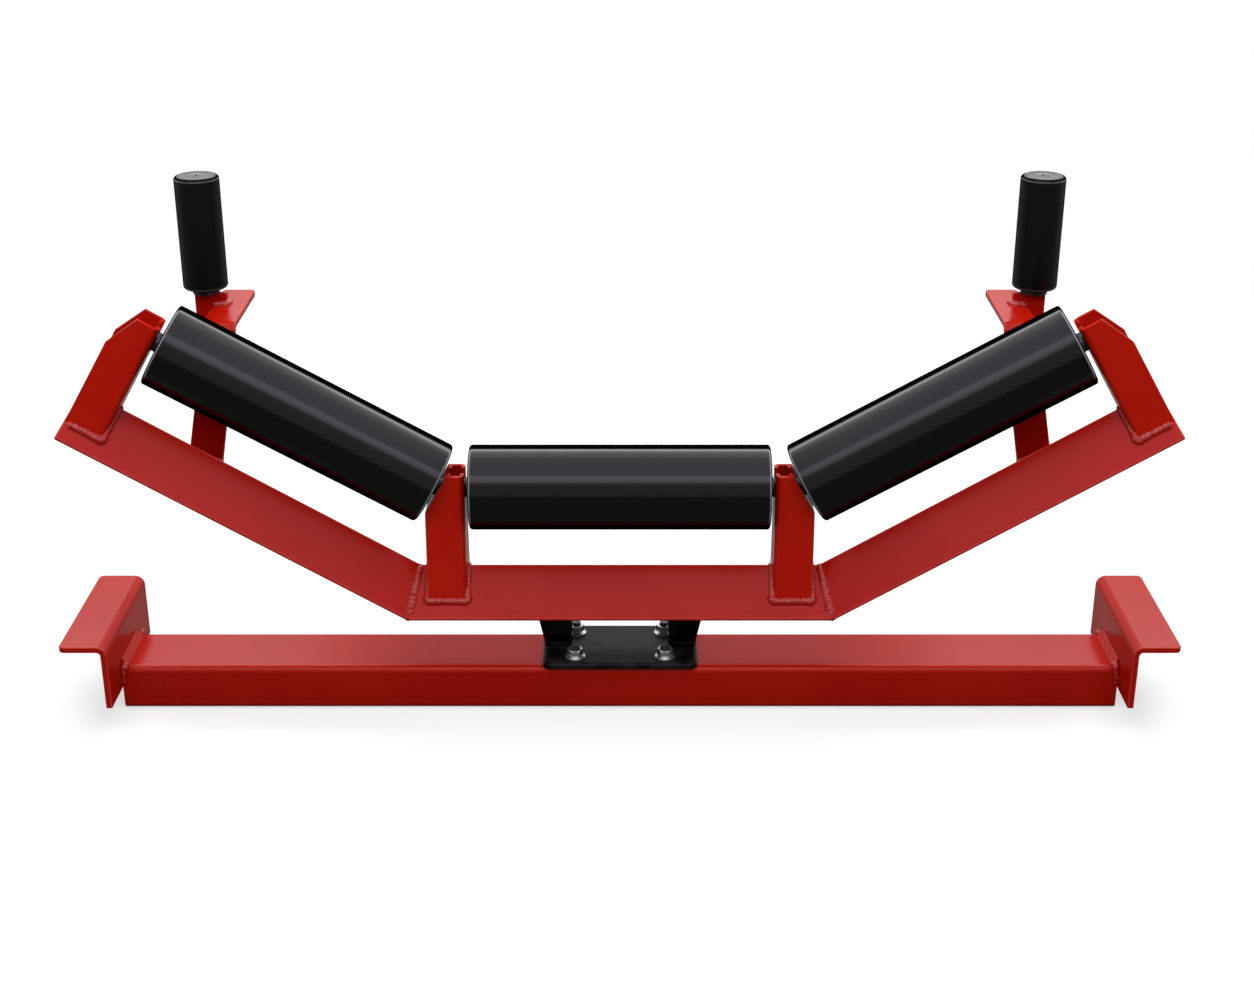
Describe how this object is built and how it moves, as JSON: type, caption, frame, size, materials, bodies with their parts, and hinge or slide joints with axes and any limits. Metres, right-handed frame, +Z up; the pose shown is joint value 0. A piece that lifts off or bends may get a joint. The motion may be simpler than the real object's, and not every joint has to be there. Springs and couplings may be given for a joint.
{
  "type": "self-aligning troughing idler set",
  "caption": "Conveyor carrying idler: a swivelling welded trough frame with flat and sloped rolls and upright belt-edge guide rollers, on a square-ended cross tube with bolt-down feet.",
  "frame": {"origin": "on the swivel axis, at the underside of the cross tube", "axes": "+X along the idler, across the belt; +Y the way the belt runs, towards the guide rollers; +Z up"},
  "size_m": [1.41, 0.312, 0.658],
  "materials": {
    "red_paint": "semi-gloss red enamel",
    "black_paint": "satin black paint",
    "cast_black": "painted black casting",
    "zinc_steel": "bright zinc plate",
    "bright_steel": "turned",
    "bearing_steel": "ground",
    "bronze": "machined",
    "black_nylon": "moulded",
    "dark_cap": "moulded, dark grey"
  },
  "bodies": {
    "base": {"cross_tube": "red_paint", "foot_left": "red_paint", "foot_right": "red_paint", "foot_welds": "red_paint", "pivot_pedestal": "cast_black", "pedestal_bolts": "zinc_steel", "pedestal_nuts": "zinc_steel", "pivot_bush": "bronze", "thrust_race_lower": "bearing_steel", "thrust_balls": "bearing_steel", "swivel_stop_pins": "zinc_steel"},
    "trough_frame": {"beam_centre": "red_paint", "beam_wing_left": "red_paint", "beam_wing_right": "red_paint", "kink_welds": "red_paint", "bracket_outer_left": "red_paint", "bracket_inner_left": "red_paint", "bracket_inner_right": "red_paint", "bracket_outer_right": "red_paint", "bracket_welds": "red_paint", "kingpin": "bright_steel", "pivot_saddle": "red_paint", "kingpin_nut": "zinc_steel", "thrust_race_upper": "bearing_steel", "roll_shaft_left": "red_paint", "roll_shaft_centre": "red_paint", "roll_shaft_right": "red_paint", "shaft_circlips": "bearing_steel", "roll_inner_races": "bearing_steel", "roll_dust_caps": "black_nylon", "guide_arm_left": "red_paint", "guide_arm_right": "red_paint", "guide_post_left": "red_paint", "guide_post_right": "red_paint", "guide_welds": "red_paint", "guide_shaft_left": "bright_steel", "guide_shaft_right": "bright_steel", "guide_inner_races": "bearing_steel"},
    "roll_left": {"roll_left_shell": "black_paint", "roll_left_housings": "black_paint", "roll_left_bearings": "bearing_steel", "roll_left_seals": "black_nylon"},
    "roll_centre": {"roll_centre_shell": "black_paint", "roll_centre_housings": "black_paint", "roll_centre_bearings": "bearing_steel", "roll_centre_seals": "black_nylon"},
    "roll_right": {"roll_right_shell": "black_paint", "roll_right_housings": "black_paint", "roll_right_bearings": "bearing_steel", "roll_right_seals": "black_nylon"},
    "guide_left": {"guide_left_shell": "black_paint", "guide_left_cap": "dark_cap", "guide_left_bearings": "bearing_steel", "guide_left_seal": "black_nylon"},
    "guide_right": {"guide_right_shell": "black_paint", "guide_right_cap": "dark_cap", "guide_right_bearings": "bearing_steel", "guide_right_seal": "black_nylon"}
  },
  "joints": [
    {"name": "frame_swivel", "type": "hinge", "parent": "base", "child": "trough_frame", "pos_m": [0, 0, 0.121], "axis": [0, 0, 1], "range_deg": [-8, 8]},
    {"name": "roll_left_spin", "type": "hinge", "parent": "trough_frame", "child": "roll_left", "pos_m": [-0.4002, 0, 0.38999], "axis": [-0.8704, 0, 0.4924], "continuous": true},
    {"name": "roll_centre_spin", "type": "hinge", "parent": "trough_frame", "child": "roll_centre", "pos_m": [0, 0, 0.292], "axis": [1, 0, 0], "continuous": true},
    {"name": "roll_right_spin", "type": "hinge", "parent": "trough_frame", "child": "roll_right", "pos_m": [0.4002, 0, 0.38999], "axis": [0.8704, 0, 0.4924], "continuous": true},
    {"name": "guide_left_spin", "type": "hinge", "parent": "trough_frame", "child": "guide_left", "pos_m": [-0.535, 0.144, 0.585], "axis": [0, 0, 1], "continuous": true},
    {"name": "guide_right_spin", "type": "hinge", "parent": "trough_frame", "child": "guide_right", "pos_m": [0.535, 0.144, 0.585], "axis": [0, 0, 1], "continuous": true}
  ]
}
